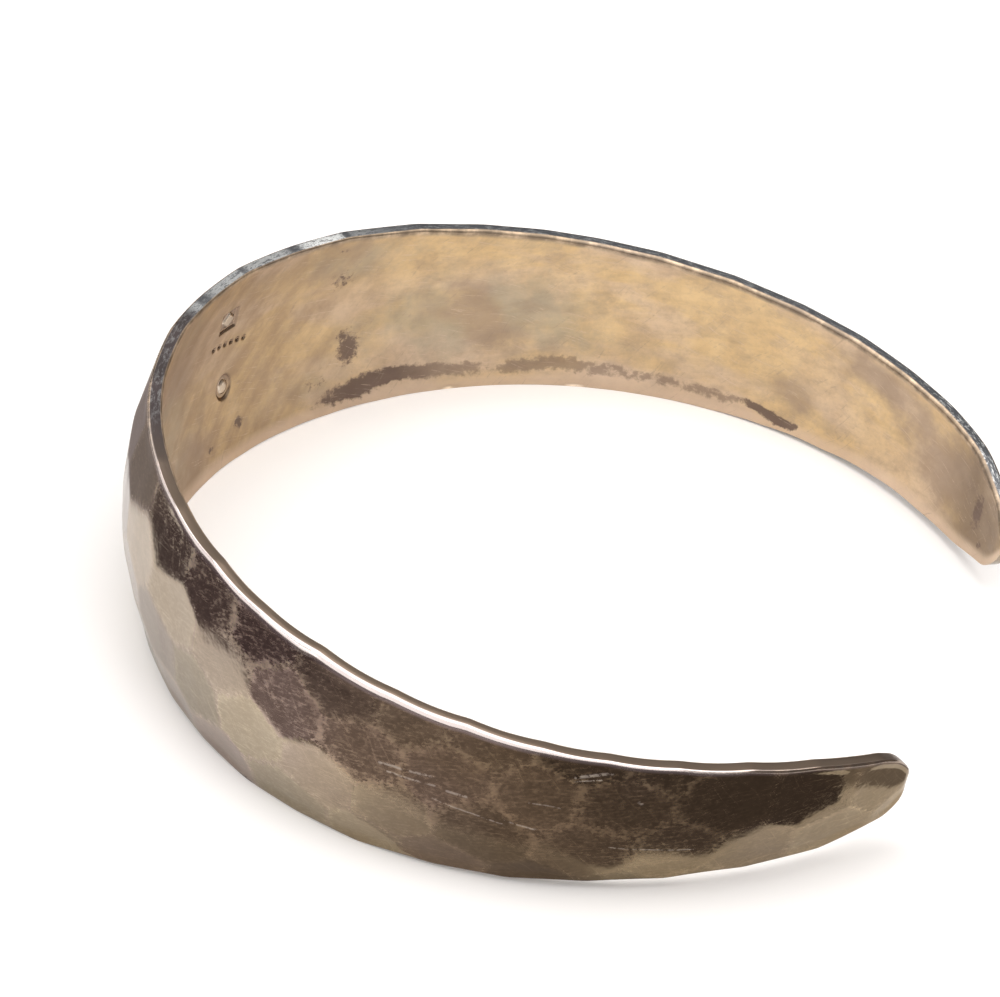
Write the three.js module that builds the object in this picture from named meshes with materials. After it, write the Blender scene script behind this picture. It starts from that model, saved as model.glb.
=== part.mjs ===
// A tapered, hand-hammered cuff bracelet lying on its side: one forged strip of silver, bent to an open round.
//
// Frame, in millimetres: +X points from the back of the cuff to its gap, +Y to the left arm, +Z up. The cuff's
// own axis is upright but for its small rest tilt, its lower edge stands on Z = 0, and the origin is under the
// middle of its bounding box.

import * as THREE from "three";
import { mergeVertices } from "three/addons/utils/BufferGeometryUtils.js";

// ---- Driving dimensions ---------------------------------------------------------------------------------

const EDGE_THICKNESS = 1.0; // the wall at its two edges, thinned by the hammer
const OUTER_DOME = 1.65; // how far the outside bulges past its edges at the back
const INNER_DOME = 1.3; // how deep the inside is hollowed there
const FLARE = 0.0425; // how far the wall leans outwards, per mm of height
const ARRIS_RADIUS = 0.28; // the softened corner between a face and an edge
const END_ROUND = 2.0; // length of the rounded end of each arm
const END_THIN = 0.7; // length over which the wall itself rounds off at the end

// The wall's middle line in plan: each arm leaves the middle of the back as a chain of three arcs.
const LEFT_ARM = [
  { part: "back", radius: 24.3, turn: 26.5 },
  { part: "side", radius: 30.4, turn: 82.1 },
  { part: "end", radius: 31.5, turn: 39.2 },
];
const RIGHT_ARM = [
  { part: "back", radius: 25.6, turn: 23.4 },
  { part: "side", radius: 29.4, turn: 82.7 },
  { part: "end", radius: 32.9, turn: 40.2 },
];

// Height of the upper and lower edge from the strip's middle line, at shares of an arm's length.
const WIDTHS = [
  { share: 0.0, leftUp: 8.0, leftDown: 8.3, rightUp: 8.0, rightDown: 8.3 },
  { share: 0.2, leftUp: 7.5, leftDown: 7.75, rightUp: 7.7, rightDown: 7.6 },
  { share: 0.4, leftUp: 6.3, leftDown: 7.0, rightUp: 6.8, rightDown: 7.45 },
  { share: 0.6, leftUp: 5.35, leftDown: 5.9, rightUp: 5.85, rightDown: 6.2 },
  { share: 0.8, leftUp: 4.85, leftDown: 4.4, rightUp: 4.8, rightDown: 4.35 },
  { share: 0.92, leftUp: 4.2, leftDown: 3.75, rightUp: 3.7, rightDown: 3.45 },
  { share: 1.0, leftUp: 2.0, leftDown: 2.15, rightUp: 2.0, rightDown: 2.1 },
];

// Hammer blows. Each leaves a shallow dish as wide as the hammer face is round, and neighbours meet in a ridge.
const BLOW_STEP = 5.6; // along the strip
const BLOW_ROWS = [-6.3, -2.2, 2.0, 6.1]; // height of each row
const BLOW_STRAY = 1.2; // how far a blow strays from its place in the row
const BLOW_DEPTH = 0.16;
const DISH_ALONG = 36; // radius of a dish along the strip, and across it
const DISH_ACROSS = 26;
const RIDGE_SOFTNESS = 0.012;
const EDGE_BLOW_STEP = 4.8;
const EDGE_BLOW_DEPTH = 0.09;
const EDGE_DISH = 26;

// How the finished cuff leans when it lies on its side, and how much of its lower edge is rubbed flat there.
const REST_PITCH = 4.0;
const REST_ROLL = -0.5;
const RUBBED_FLAT = 0.2;

// Mesh density.
const STATION_STEP = 1.25;
const END_STATIONS = 6;
const OUTER_COLUMNS = 10;
const INNER_COLUMNS = 6;

// ---- The strip before it is hammered --------------------------------------------------------------------

const armLength = (arcs) =>
  arcs.reduce((sum, { radius, turn }) => sum + radius * THREE.MathUtils.degToRad(turn), 0);
const LEFT_LENGTH = armLength(LEFT_ARM);
const RIGHT_LENGTH = armLength(RIGHT_ARM);

// Point and outward direction of the wall's middle line, `along` mm from the middle of the back.
function planAt(along) {
  const side = along < 0 ? -1 : 1;
  const centre = new THREE.Vector2(0, 0);
  let heading = 0; // turned from +Y towards +X
  let left = Math.abs(along);
  for (const { radius, turn } of side < 0 ? RIGHT_ARM : LEFT_ARM) {
    const step = Math.min(left / radius, THREE.MathUtils.degToRad(turn));
    centre.x += radius * (Math.cos(heading) - Math.cos(heading + step));
    centre.y += radius * (Math.sin(heading + step) - Math.sin(heading));
    heading += step;
    left -= step * radius;
  }
  return {
    centre: new THREE.Vector2(centre.x, side * centre.y),
    outward: new THREE.Vector2(-Math.cos(heading), side * Math.sin(heading)),
  };
}

// A column of WIDTHS at any share of the arm, by a cubic that passes smoothly through every row.
function widthAt(column, share) {
  const last = WIDTHS.length - 1;
  const row = Math.min(WIDTHS.findLastIndex((w) => w.share <= share), last - 1);
  const slope = (i) => {
    const before = WIDTHS[Math.max(i - 1, 0)];
    const after = WIDTHS[Math.min(i + 1, last)];
    return (after[column] - before[column]) / (after.share - before.share);
  };
  const [from, to] = [WIDTHS[row], WIDTHS[row + 1]];
  const span = to.share - from.share;
  const t = (share - from.share) / span;
  return (
    from[column] * (1 + 2 * t) * (1 - t) ** 2 +
    to[column] * t * t * (3 - 2 * t) +
    span * t * (1 - t) * (slope(row) * (1 - t) - slope(row + 1) * t)
  );
}

// ---- Hammer blows ---------------------------------------------------------------------------------------

// A repeatable scatter between -1 and 1.
function scatter(index, salt) {
  const wave = Math.sin(index * 12.9898 + salt * 78.233) * 43758.5453;
  return 2 * (wave - Math.floor(wave)) - 1;
}

// The lowest of several dishes, with the ridge between them rounded over.
const lowest = (depths) => {
  const least = Math.min(...depths);
  const sum = depths.reduce((total, d) => total + Math.exp((least - d) / RIDGE_SOFTNESS), 0);
  return least - RIDGE_SOFTNESS * Math.log(sum);
};

const blows = BLOW_ROWS.flatMap((height, row) => {
  const count = Math.ceil((LEFT_LENGTH + RIGHT_LENGTH) / BLOW_STEP) + 2;
  return Array.from({ length: count }, (_, i) => ({
    along: -RIGHT_LENGTH + (i - 0.5 + 0.5 * (row % 2)) * BLOW_STEP + BLOW_STRAY * scatter(i, row),
    height: height + 0.6 * BLOW_STRAY * scatter(i, row + 10),
  }));
});

// How far the outer face stands out from the smooth strip, which is in where a blow fell and out at a ridge.
function faceRelief(along, height) {
  const near = blows.filter((b) => Math.abs(b.along - along) < 2.5 * BLOW_STEP);
  return (
    lowest(
      near.map(
        (b) => (along - b.along) ** 2 / (2 * DISH_ALONG) + (height - b.height) ** 2 / (2 * DISH_ACROSS),
      ),
    ) - BLOW_DEPTH
  );
}

// The same for an edge, which is struck in a single row.
function edgeRelief(along, salt) {
  const index = Math.round((along + RIGHT_LENGTH) / EDGE_BLOW_STEP);
  const dishes = [-2, -1, 0, 1, 2].map((k) => {
    const place = -RIGHT_LENGTH + (index + k) * EDGE_BLOW_STEP + BLOW_STRAY * scatter(index + k, salt);
    return (along - place) ** 2 / (2 * EDGE_DISH);
  });
  return lowest(dishes) - EDGE_BLOW_DEPTH;
}

// ---- The band -------------------------------------------------------------------------------------------

// Falls from 1 to 0 along a quarter circle over the last `length` mm before the end.
function roundOff(toEnd, length) {
  return toEnd < length ? Math.sqrt(Math.max(0, 1 - (1 - toEnd / length) ** 2)) : 1;
}

// Blows near an edge slide off it, so the relief of the face dies away before the arris.
const slideOff = (toEdge) => THREE.MathUtils.smoothstep(toEdge, 0, 0.8);

// Sizes of the wall's cross-section at one place along the strip.
function wallAt(along) {
  const [arm, length] = along < 0 ? ["right", RIGHT_LENGTH] : ["left", LEFT_LENGTH];
  const toEnd = length - Math.abs(along);
  const share = Math.abs(along) / length;
  const narrow = Math.max(roundOff(toEnd, END_ROUND), 0.12);
  const up = (widthAt(arm + "Up", share) + edgeRelief(along, 31)) * narrow;
  const down = (widthAt(arm + "Down", share) + edgeRelief(along, 47)) * narrow;
  const thick = (EDGE_THICKNESS / 2) * Math.max(roundOff(toEnd, END_THIN), 0.35);
  return {
    middle: (up - down) / 2,
    tall: (up + down) / 2, // half the height
    thick, // half the thickness
    arris: Math.min(ARRIS_RADIUS, 0.6 * thick),
    bulge: ((up + down) / (WIDTHS[0].leftUp + WIDTHS[0].leftDown)) ** 2,
    relief: roundOff(toEnd, END_ROUND),
  };
}

// The softened corners and flat of one edge: four points from the outer face to the inner one.
function edgePoints({ middle, tall, thick, arris }, sign) {
  const edge = middle + sign * tall;
  const cut = arris * (1 - Math.SQRT1_2);
  return [
    [thick - cut, edge - sign * cut],
    [thick - arris, edge],
    [-thick + arris, edge],
    [-thick + cut, edge - sign * cut],
  ];
}

// One closed ring of points round the wall: up the outer face, over the edge, down the inner face.
function section(along) {
  const wall = wallAt(along);
  const { middle, tall, thick, arris, bulge, relief } = wall;
  const domed = (z) => bulge * (1 - ((z - middle) / tall) ** 2);
  const outer = Array.from({ length: OUTER_COLUMNS + 1 }, (_, i) => {
    const z = middle + (tall - arris) * ((2 * i) / OUTER_COLUMNS - 1);
    const struck = relief * faceRelief(along, z) * slideOff(tall - Math.abs(z - middle));
    return [thick + OUTER_DOME * domed(z) + struck, z];
  });
  const inner = Array.from({ length: INNER_COLUMNS + 1 }, (_, i) => {
    const z = middle + (tall - arris) * (1 - (2 * i) / INNER_COLUMNS);
    return [-thick + INNER_DOME * domed(z), z];
  });
  const ring = [...outer, ...edgePoints(wall, 1), ...inner, ...edgePoints(wall, -1).reverse()];

  const { centre, outward } = planAt(along);
  return ring.map(([out, z]) => {
    const stand = out + FLARE * z;
    return new THREE.Vector3(centre.x + outward.x * stand, centre.y + outward.y * stand, z);
  });
}

// Stations along the strip, closer together where the ends round off.
function stations() {
  const places = [];
  const body = [-(RIGHT_LENGTH - END_ROUND), LEFT_LENGTH - END_ROUND];
  const count = Math.round((body[1] - body[0]) / STATION_STEP);
  for (let i = END_STATIONS; i >= 1; i--) {
    places.push(body[0] - END_ROUND * Math.sin((i / END_STATIONS) * (Math.PI / 2)));
  }
  for (let i = 0; i <= count; i++) places.push(body[0] + ((body[1] - body[0]) * i) / count);
  for (let i = 1; i <= END_STATIONS; i++) {
    places.push(body[1] + END_ROUND * Math.sin((i / END_STATIONS) * (Math.PI / 2)));
  }
  return places;
}

function bandGeometry() {
  const rings = stations().map(section);
  const size = rings[0].length;
  const points = rings.flat();
  const faces = [];
  for (let r = 0; r + 1 < rings.length; r++) {
    for (let i = 0; i < size; i++) {
      const [a, b] = [r * size + i, r * size + ((i + 1) % size)];
      faces.push(a, b, a + size, b, b + size, a + size);
    }
  }
  for (const [ring, turned] of [[0, false], [rings.length - 1, true]]) {
    const hub = points.length;
    points.push(rings[ring].reduce((sum, p) => sum.add(p), new THREE.Vector3()).divideScalar(size));
    for (let i = 0; i < size; i++) {
      const [a, b] = [ring * size + i, ring * size + ((i + 1) % size)];
      faces.push(hub, ...(turned ? [a, b] : [b, a]));
    }
  }
  return new THREE.BufferGeometry().setFromPoints(points).setIndex(faces);
}

// Lays the band on its side: tilts it to its rest, stands it on Z = 0 and centres it over the origin.
function layDown(geometry) {
  geometry.rotateY(THREE.MathUtils.degToRad(REST_PITCH));
  geometry.rotateX(THREE.MathUtils.degToRad(REST_ROLL));
  geometry.computeBoundingBox();
  const { min, max } = geometry.boundingBox;
  geometry.translate(-(min.x + max.x) / 2, -(min.y + max.y) / 2, -min.z - RUBBED_FLAT);
  const position = geometry.getAttribute("position");
  for (let i = 0; i < position.count; i++) position.setZ(i, Math.max(position.getZ(i), 0));
  return geometry;
}

// ---- The scene graph ------------------------------------------------------------------------------------

const silver = new THREE.MeshStandardMaterial({ color: 0xb9aa94, roughness: 0.28, metalness: 1 });

const bracelet = new THREE.Group();
const band = new THREE.Mesh(mergeVertices(layDown(bandGeometry())), silver);
band.name = "cuff_band";
bracelet.add(band);

export default bracelet;
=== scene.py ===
# %% [markdown]
# # A hand-hammered silver cuff
#
# The object is one strip of silver, about 150 mm long: forged wide in the middle, drawn out to two rounded
# ends, planished with a domed hammer on the outside and bent into an open round. It lies on its side on a
# pale table. This notebook follows the smith: cut a flat blank, thicken it, soften its corners, strike it,
# stamp it, bend it, lay it down, and only then give it its tarnish. The strip is measured in millimetres and
# becomes metres when it is laid down.

import math
from functools import partial

import bpy
import numpy as np
from mathutils import Matrix, Vector


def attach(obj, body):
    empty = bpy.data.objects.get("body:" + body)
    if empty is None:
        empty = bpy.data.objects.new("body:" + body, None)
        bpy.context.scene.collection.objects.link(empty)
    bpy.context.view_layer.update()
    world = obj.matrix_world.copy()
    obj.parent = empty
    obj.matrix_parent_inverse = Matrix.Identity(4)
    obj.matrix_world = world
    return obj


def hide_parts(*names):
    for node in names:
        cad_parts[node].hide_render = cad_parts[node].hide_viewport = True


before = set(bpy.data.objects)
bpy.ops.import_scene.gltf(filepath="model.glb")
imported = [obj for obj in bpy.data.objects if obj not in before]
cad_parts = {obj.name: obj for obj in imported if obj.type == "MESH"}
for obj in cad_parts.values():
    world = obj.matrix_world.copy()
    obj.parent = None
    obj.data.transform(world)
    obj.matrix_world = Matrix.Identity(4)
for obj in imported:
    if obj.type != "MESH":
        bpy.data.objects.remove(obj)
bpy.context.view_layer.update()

MM = 0.001
scene = bpy.context.scene


def only(piece):
    """Selects one object and makes it the active one."""
    bpy.ops.object.select_all(action="DESELECT")
    piece.select_set(True)
    bpy.context.view_layer.objects.active = piece


# %% [markdown]
# ## Where the camera stands
#
# A long lens, about three times a normal one, stands 28 cm away and looks down by 37 degrees. The camera is
# turned by its own axes, which is plainer here than three angles: the picture is tipped by a few degrees, as
# a hand-held one is.

# %% Camera
CAMERA_AT = Vector((0.05675, -0.21526, 0.17379))
CAMERA_RIGHT = Vector((0.94761, 0.31340, 0.06171))
CAMERA_UP = Vector((-0.23430, 0.55072, 0.80113))
LENS = 148.3

bpy.ops.object.camera_add(location=CAMERA_AT)
camera = bpy.context.object
camera.name = "camera"
back = CAMERA_RIGHT.cross(CAMERA_UP)
camera.rotation_euler = Matrix((CAMERA_RIGHT, CAMERA_UP, back)).transposed().to_euler()
camera.data.sensor_width = 36
camera.data.lens = LENS
camera.data.clip_start, camera.data.clip_end = 0.01, 10
scene.camera = camera
print("camera looks down by", round(math.degrees(math.asin(back.z)), 1), "degrees")

# %% [markdown]
# ## The strip, in numbers
#
# Everything about the cuff is told along the strip: how far a place is from the middle of the back, and how
# high it is above the strip's middle line. The plan is three arcs for each arm, and the width is a short
# table. Left is the arm on the +Y side.

# %% Plan and widths
LEFT_ARM = [("back", 24.3, 26.5), ("side", 30.4, 82.1), ("end", 31.5, 39.2)]  # radius mm, turn in degrees
RIGHT_ARM = [("back", 25.6, 23.4), ("side", 29.4, 82.7), ("end", 32.9, 40.2)]
WIDTHS = np.array(  # share of the arm, then mm: left up, left down, right up, right down
    [
        (0.00, 8.00, 8.30, 8.00, 8.30),
        (0.20, 7.50, 7.75, 7.70, 7.60),
        (0.40, 6.30, 7.00, 6.80, 7.45),
        (0.60, 5.35, 5.90, 5.85, 6.20),
        (0.80, 4.85, 4.40, 4.80, 4.35),
        (0.92, 4.20, 3.75, 3.70, 3.45),
        (1.00, 2.00, 2.15, 2.00, 2.10),
    ]
)
THICK = 1.0
OUTER_DOME, INNER_DOME = 1.65, 1.30
FLARE = 0.0425
END_ROUND, END_THIN = 2.0, 0.7


def arm_length(arcs):
    return sum(radius * math.radians(turn) for _, radius, turn in arcs)


LEFT_LENGTH, RIGHT_LENGTH = arm_length(LEFT_ARM), arm_length(RIGHT_ARM)


def width_at(column, share):
    """One column of WIDTHS by a cubic that runs smoothly through every row."""
    x, y = WIDTHS[:, 0], WIDTHS[:, column]
    last = len(x) - 1
    slope = np.array([(y[min(i + 1, last)] - y[max(i - 1, 0)]) / (x[min(i + 1, last)] - x[max(i - 1, 0)])
                      for i in range(last + 1)])
    row = np.clip(np.searchsorted(x, share, side="right") - 1, 0, last - 1)
    span = x[row + 1] - x[row]
    t = (share - x[row]) / span
    return (y[row] * (1 + 2 * t) * (1 - t) ** 2 + y[row + 1] * t * t * (3 - 2 * t)
            + span * t * (1 - t) * (slope[row] * (1 - t) - slope[row + 1] * t))


print(f"strip {LEFT_LENGTH + RIGHT_LENGTH:.1f} mm long, {WIDTHS[0, 1:3].sum():.1f} mm wide at the back")

# %% [markdown]
# ## The blank
#
# A smith starts from a flat strip, so the piece starts from a flat grid: its X is the place along the strip
# and its Y runs from -1 at the lower edge to 1 at the upper one. The grid is fine, because the blows that
# come later are less than a fifth of a millimetre deep. Where the small punches will fall it is cut finer
# still. Extruding the whole sheet upwards gives it its second face and its four rims: a closed body.

# %% Cut the blank
CELLS_ALONG, CELLS_ACROSS = 480, 54
PUNCH_ZONE = (4.9, 10.6, -0.56, 0.74)  # along from, along to, share of height from, to

bpy.ops.object.select_all(action="DESELECT")
bpy.ops.mesh.primitive_grid_add(x_subdivisions=CELLS_ALONG, y_subdivisions=CELLS_ACROSS, size=2)
cuff = bpy.context.object
cuff.name = cuff.data.name = "hammered_cuff"


def read_points(mesh):
    flat = np.empty(len(mesh.vertices) * 3)
    mesh.vertices.foreach_get("co", flat)
    return flat.reshape(-1, 3)


def write_points(mesh, points):
    mesh.vertices.foreach_set("co", np.ascontiguousarray(points).ravel())
    mesh.update()


blank = read_points(cuff.data)
# Closer columns near both ends, where the outline turns quickly.
place = blank[:, 0]
blank[:, 0] = place + 0.35 / math.pi * np.sin(math.pi * place) * np.abs(place) ** 3
blank[:, 0] = -RIGHT_LENGTH + (blank[:, 0] + 1) / 2 * (LEFT_LENGTH + RIGHT_LENGTH)
write_points(cuff.data, blank)

only(cuff)
bpy.ops.object.mode_set(mode="EDIT")
bpy.ops.mesh.select_all(action="SELECT")
bpy.ops.mesh.extrude_region_move(TRANSFORM_OT_translate={"value": (0, 0, 1)})
bpy.ops.mesh.select_all(action="SELECT")
bpy.ops.mesh.normals_make_consistent(inside=False)
bpy.ops.mesh.select_all(action="DESELECT")
bpy.ops.object.mode_set(mode="OBJECT")

# %% Cut the inner face finer where the punches fall
low_along, high_along, low_share, high_share = PUNCH_ZONE
for face in cuff.data.polygons:
    c = face.center
    face.select = c.z < 0.01 and low_along < c.x < high_along and low_share < c.y < high_share
bpy.ops.object.mode_set(mode="EDIT")
bpy.ops.mesh.select_mode(type="FACE")
bpy.ops.mesh.subdivide(number_cuts=3)
bpy.ops.object.mode_set(mode="OBJECT")
print("blank:", len(cuff.data.vertices), "points,", len(cuff.data.polygons), "faces")

# %% [markdown]
# ## Forging the section
#
# Each point now has three numbers: along, share of the height, and which face it is on. The next cells turn
# the last two into a height and a distance out from the wall's middle. The rows nearest each edge are
# gathered round the softened corner (the arris), which is fuller on the outside, where the hammer rolled it
# over. The faces are then domed, and the wall thins and rounds off at the two ends.

# %% Section helpers
ARRIS_ROWS = 5
INNER_ARRIS, INNER_ARRIS_LOW = 0.2, 0.1  # mm: along the upper edge, along the lower one
INNER_ARRIS_FAR = 0.36  # along the left arm's upper edge, where it is worn softer
OUTER_ARRIS_LEFT, OUTER_ARRIS_RIGHT = 0.14, 0.33
BEVELLED = 0.5  # how far the hammer has flattened the wide arris into a bevel


def scatter(index, salt):
    """A repeatable number from -1 to 1."""
    wave = np.sin(index * 12.9898 + salt * 78.233) * 43758.5453
    return 2 * (wave - np.floor(wave)) - 1


def round_off(to_end, length):
    """Falls from 1 to 0 along a quarter circle over the last stretch before the end."""
    t = np.clip(1 - to_end / length, 0, 1)
    return np.sqrt(1 - t * t)


def smoothstep(value, low, high):
    t = np.clip((value - low) / (high - low), 0, 1)
    return t * t * (3 - 2 * t)


def lowest(depths, softness):
    """The lowest of several dishes (first axis), with the ridges between them rounded over."""
    least = depths.min(axis=0)
    return least - softness * np.log(np.exp((least - depths) / softness).sum(axis=0))


def beaten_over(along, share_up):
    """How wide the outer arris is, 0 to 1: it is beaten over only on the right arm's upper edge."""
    grows = 0.1 + 0.9 * smoothstep(-along, 16, 38)
    shrinks = 1 - 0.75 * smoothstep(-along, 45, 54)
    return grows * shrinks * ((share_up > 0) & (along < 0))


print("arris, mm: inside", INNER_ARRIS, "and outside up to", OUTER_ARRIS_RIGHT)

# %% [markdown]
# ## Hammer blows
#
# Planishing leaves a field of shallow dishes. Where two dishes meet there is a faint ridge, and on polished
# metal each dish mirrors the room by itself, which is what makes hammered silver glitter. Each blow is one
# bowl-shaped surface, and the face is wherever the lowest bowl is. The two edges are struck in a single row.

# %% Blows
BLOW_STEP = 5.6
BLOW_ROWS = (-6.3, -2.2, 2.0, 6.1)
BLOW_STRAY = 1.2
BLOW_DEPTH = 0.16
DISH_ALONG, DISH_ACROSS = 36, 26
RIDGE_SOFTNESS = 0.012
EDGE_BLOW_STEP, EDGE_BLOW_DEPTH, EDGE_SOFTNESS = 4.8, 0.09, 0.02
EDGE_DISH, EDGE_DISH_LEFT = 26, 48


def blow_rows():
    """The blows, row by row: place along the strip and height."""
    count = math.ceil((LEFT_LENGTH + RIGHT_LENGTH) / BLOW_STEP) + 2
    i = np.arange(count)
    for row, height in enumerate(BLOW_ROWS):
        along = -RIGHT_LENGTH + (i - 0.5 + 0.5 * (row % 2)) * BLOW_STEP + BLOW_STRAY * scatter(i, row)
        yield along, height + 0.6 * BLOW_STRAY * scatter(i, row + 10)


BLOWS = np.hstack([np.vstack(row) for row in blow_rows()])


def dishes(along, height, batch=4000):
    """Every blow's dish over the points, a batch of points at a time to save memory."""
    for start in range(0, len(along), batch):
        part = slice(start, start + batch)
        yield part, ((along[None, part] - BLOWS[0][:, None]) ** 2 / (2 * DISH_ALONG)
                     + (height[None, part] - BLOWS[1][:, None]) ** 2 / (2 * DISH_ACROSS))


def face_relief(along, height):
    """How far the struck face stands out from the smooth one, in mm."""
    relief = np.zeros_like(along)
    for part, dish in dishes(along, height):
        relief[part] = lowest(dish, RIDGE_SOFTNESS) - BLOW_DEPTH
    return relief


def edge_dishes(along, salt):
    """The five nearest blows of one edge: their numbers, and how far each one's dish stands at each place."""
    near = np.round((along + RIGHT_LENGTH) / EDGE_BLOW_STEP)
    number = np.array([near + k for k in (-2, -1, 0, 1, 2)])
    at = -RIGHT_LENGTH + number * EDGE_BLOW_STEP + BLOW_STRAY * scatter(number, salt)
    dish = EDGE_DISH + (EDGE_DISH_LEFT - EDGE_DISH) * smoothstep(along, -4, 6)
    return number, (along - at) ** 2 / (2 * dish)


def edge_relief(along, salt):
    return lowest(edge_dishes(along, salt)[1], EDGE_SOFTNESS) - EDGE_BLOW_DEPTH


print(BLOWS.shape[1], "blows on the outside")

# %% [markdown]
# ## Punch marks
#
# A small group of marks is stamped on the hollow side before bending. They are plain shapes: a square with
# a lozenge standing in it, a row of dots, and an oval with a smaller oval standing in it. Each is told by how
# far a point is outside its outline, so the same sloping wall can be cut round all of them.

# %% Punch marks
SQUARE_PUNCH = (7.3, 3.7, 0.95)  # along, height, half a side
OVAL_PUNCH = (7.4, -2.1, 0.85, 1.1)  # along, height, reach along, reach up
DOT_PUNCHES = [(6.0, 1.75), (6.65, 1.7), (7.3, 1.6), (7.95, 1.5), (8.6, 1.4), (9.25, 1.25)]
DOT_RADIUS = 0.26
LOZENGE_SHARE, INNER_OVAL_SHARE = 0.75, 0.55  # size of the standing shape within its mark
PUNCH_DEPTH, PUNCH_WALL = 0.2, 0.18
STANDS_UP = 0.8  # how much of the depth the standing shape rises again


def sunk(outside):
    """1 well inside an outline, 0 outside it, and a sloping wall between."""
    return 1 - smoothstep(outside, -PUNCH_WALL, 0)


def stamp(along, height):
    """How deeply each place is punched and how far it stands up again inside a mark, each 0 to 1."""
    at, up_at, side = SQUARE_PUNCH
    across, above = np.abs(along - at), np.abs(height - up_at)
    depth, raised = sunk(np.maximum(across, above) - side), sunk(across + above - LOZENGE_SHARE * side)
    at, up_at, reach, reach_up = OVAL_PUNCH
    oval = np.hypot((along - at) / reach, (height - up_at) / reach_up)
    depth = np.maximum(depth, sunk(reach * (oval - 1)))
    raised = np.maximum(raised, sunk(reach * (oval - INNER_OVAL_SHARE)))
    for at, up_at in DOT_PUNCHES:
        depth = np.maximum(depth, sunk(np.hypot(along - at, height - up_at) - DOT_RADIUS))
    return depth, raised


print("marks punched", PUNCH_DEPTH, "mm deep")

# %% Width, wall and arris at every point
LEAST_WIDTH, LEAST_WALL = 0.06, 0.35  # shares that stay at the very ends, so that no face closes up
UPPER_EDGE_SALT, LOWER_EDGE_SALT = 31, 47

flat = read_points(cuff.data)
along, share_up, outer = flat[:, 0], flat[:, 1], flat[:, 2] > 0.5
right = along < 0
arm = np.where(right, RIGHT_LENGTH, LEFT_LENGTH)
to_end = arm - np.abs(along)
arm_share = np.clip(np.abs(along) / arm, 0, 1)
up = np.where(right, width_at(3, arm_share), width_at(1, arm_share)) + edge_relief(along, UPPER_EDGE_SALT)
down = np.where(right, width_at(4, arm_share), width_at(2, arm_share)) + edge_relief(along, LOWER_EDGE_SALT)
narrow = np.maximum(round_off(to_end, END_ROUND), LEAST_WIDTH)
up, down = up * narrow, down * narrow
middle, tall = (up - down) / 2, (up + down) / 2
half = THICK / 2 * np.maximum(round_off(to_end, END_THIN), LEAST_WALL)

wide = beaten_over(along, share_up)
outer_arris = OUTER_ARRIS_LEFT + (OUTER_ARRIS_RIGHT - OUTER_ARRIS_LEFT) * wide
upper_inner = INNER_ARRIS + (INNER_ARRIS_FAR - INNER_ARRIS) * smoothstep(along, 14, 30)
inner_arris = np.where(share_up > 0, upper_inner, INNER_ARRIS_LOW)
arris = np.minimum(np.where(outer, outer_arris, inner_arris), np.minimum(0.8 * half, 0.4 * tall))
print(f"half width {tall.min():.2f} to {tall.max():.2f} mm")

# %% Height and depth of every point
arris_share = ARRIS_ROWS * (2 / CELLS_ACROSS)
to_edge = (1 - np.abs(share_up)) / arris_share  # 0 at the edge, 1 where the face starts
turn = np.clip(to_edge, 0, 1) * math.pi / 2
bevel = BEVELLED * np.where(outer, wide, 0)
fall = (1 - bevel) * (1 - np.cos(turn)) + bevel * turn / (math.pi / 2)
draw_in = (1 - bevel) * (1 - np.sin(turn)) + bevel * (1 - turn / (math.pi / 2))
face_share = np.clip(np.abs(share_up) / (1 - arris_share), 0, 1)
from_middle = np.where(to_edge < 1, tall - arris * fall, face_share * (tall - arris))
height = middle + np.sign(share_up) * from_middle
skin = half - np.where(to_edge < 1, arris * draw_in, 0)
dome = ((up + down) / (WIDTHS[0, 1] + WIDTHS[0, 2])) ** 2 * (1 - (from_middle / tall) ** 2)
struck = round_off(to_end, END_ROUND) * face_relief(along, height)
struck = struck * smoothstep(tall - np.abs(height - middle), 0, 0.8)
stamped, raised = [np.where(outer, 0, part) for part in stamp(along, height)]
outside = skin + OUTER_DOME * dome + struck
inside = -skin + INNER_DOME * dome + PUNCH_DEPTH * (stamped - STANDS_UP * raised)
out = np.where(outer, outside, inside)
print(f"wall {np.ptp(out[np.abs(along) < 0.3]):.2f} mm deep at the back with its dome")

# %% [markdown]
# ## Bending
#
# Each arm is bent round its three arcs, away from the middle of the back. Then the finished cuff is laid on
# its side: it rocks on its lower edge until it finds its balance, four degrees off level, and the places
# where it touches the table are rubbed flat.

# %% Bend and lay down
REST_PITCH, REST_ROLL = 4.0, -0.5
RUBBED_FLAT = 0.2


def plan_at(along):
    """Centre of the wall and the way out of it, for each place along the strip."""
    side = np.where(along < 0, -1.0, 1.0)
    left, heading = np.abs(along), np.zeros_like(along)
    x, y = np.zeros_like(along), np.zeros_like(along)
    for (_, r_radius, r_turn), (_, l_radius, l_turn) in zip(RIGHT_ARM, LEFT_ARM):
        radius = np.where(side < 0, r_radius, l_radius)
        step = np.clip(left / radius, 0, np.radians(np.where(side < 0, r_turn, l_turn)))
        x += radius * (np.cos(heading) - np.cos(heading + step))
        y += radius * (np.sin(heading + step) - np.sin(heading))
        heading, left = heading + step, left - step * radius
    return x, side * y, -np.cos(heading), side * np.sin(heading)


def bend(along, out, height):
    x, y, out_x, out_y = plan_at(along)
    stand = out + FLARE * height
    return np.column_stack([x + out_x * stand, y + out_y * stand, height])


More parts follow.
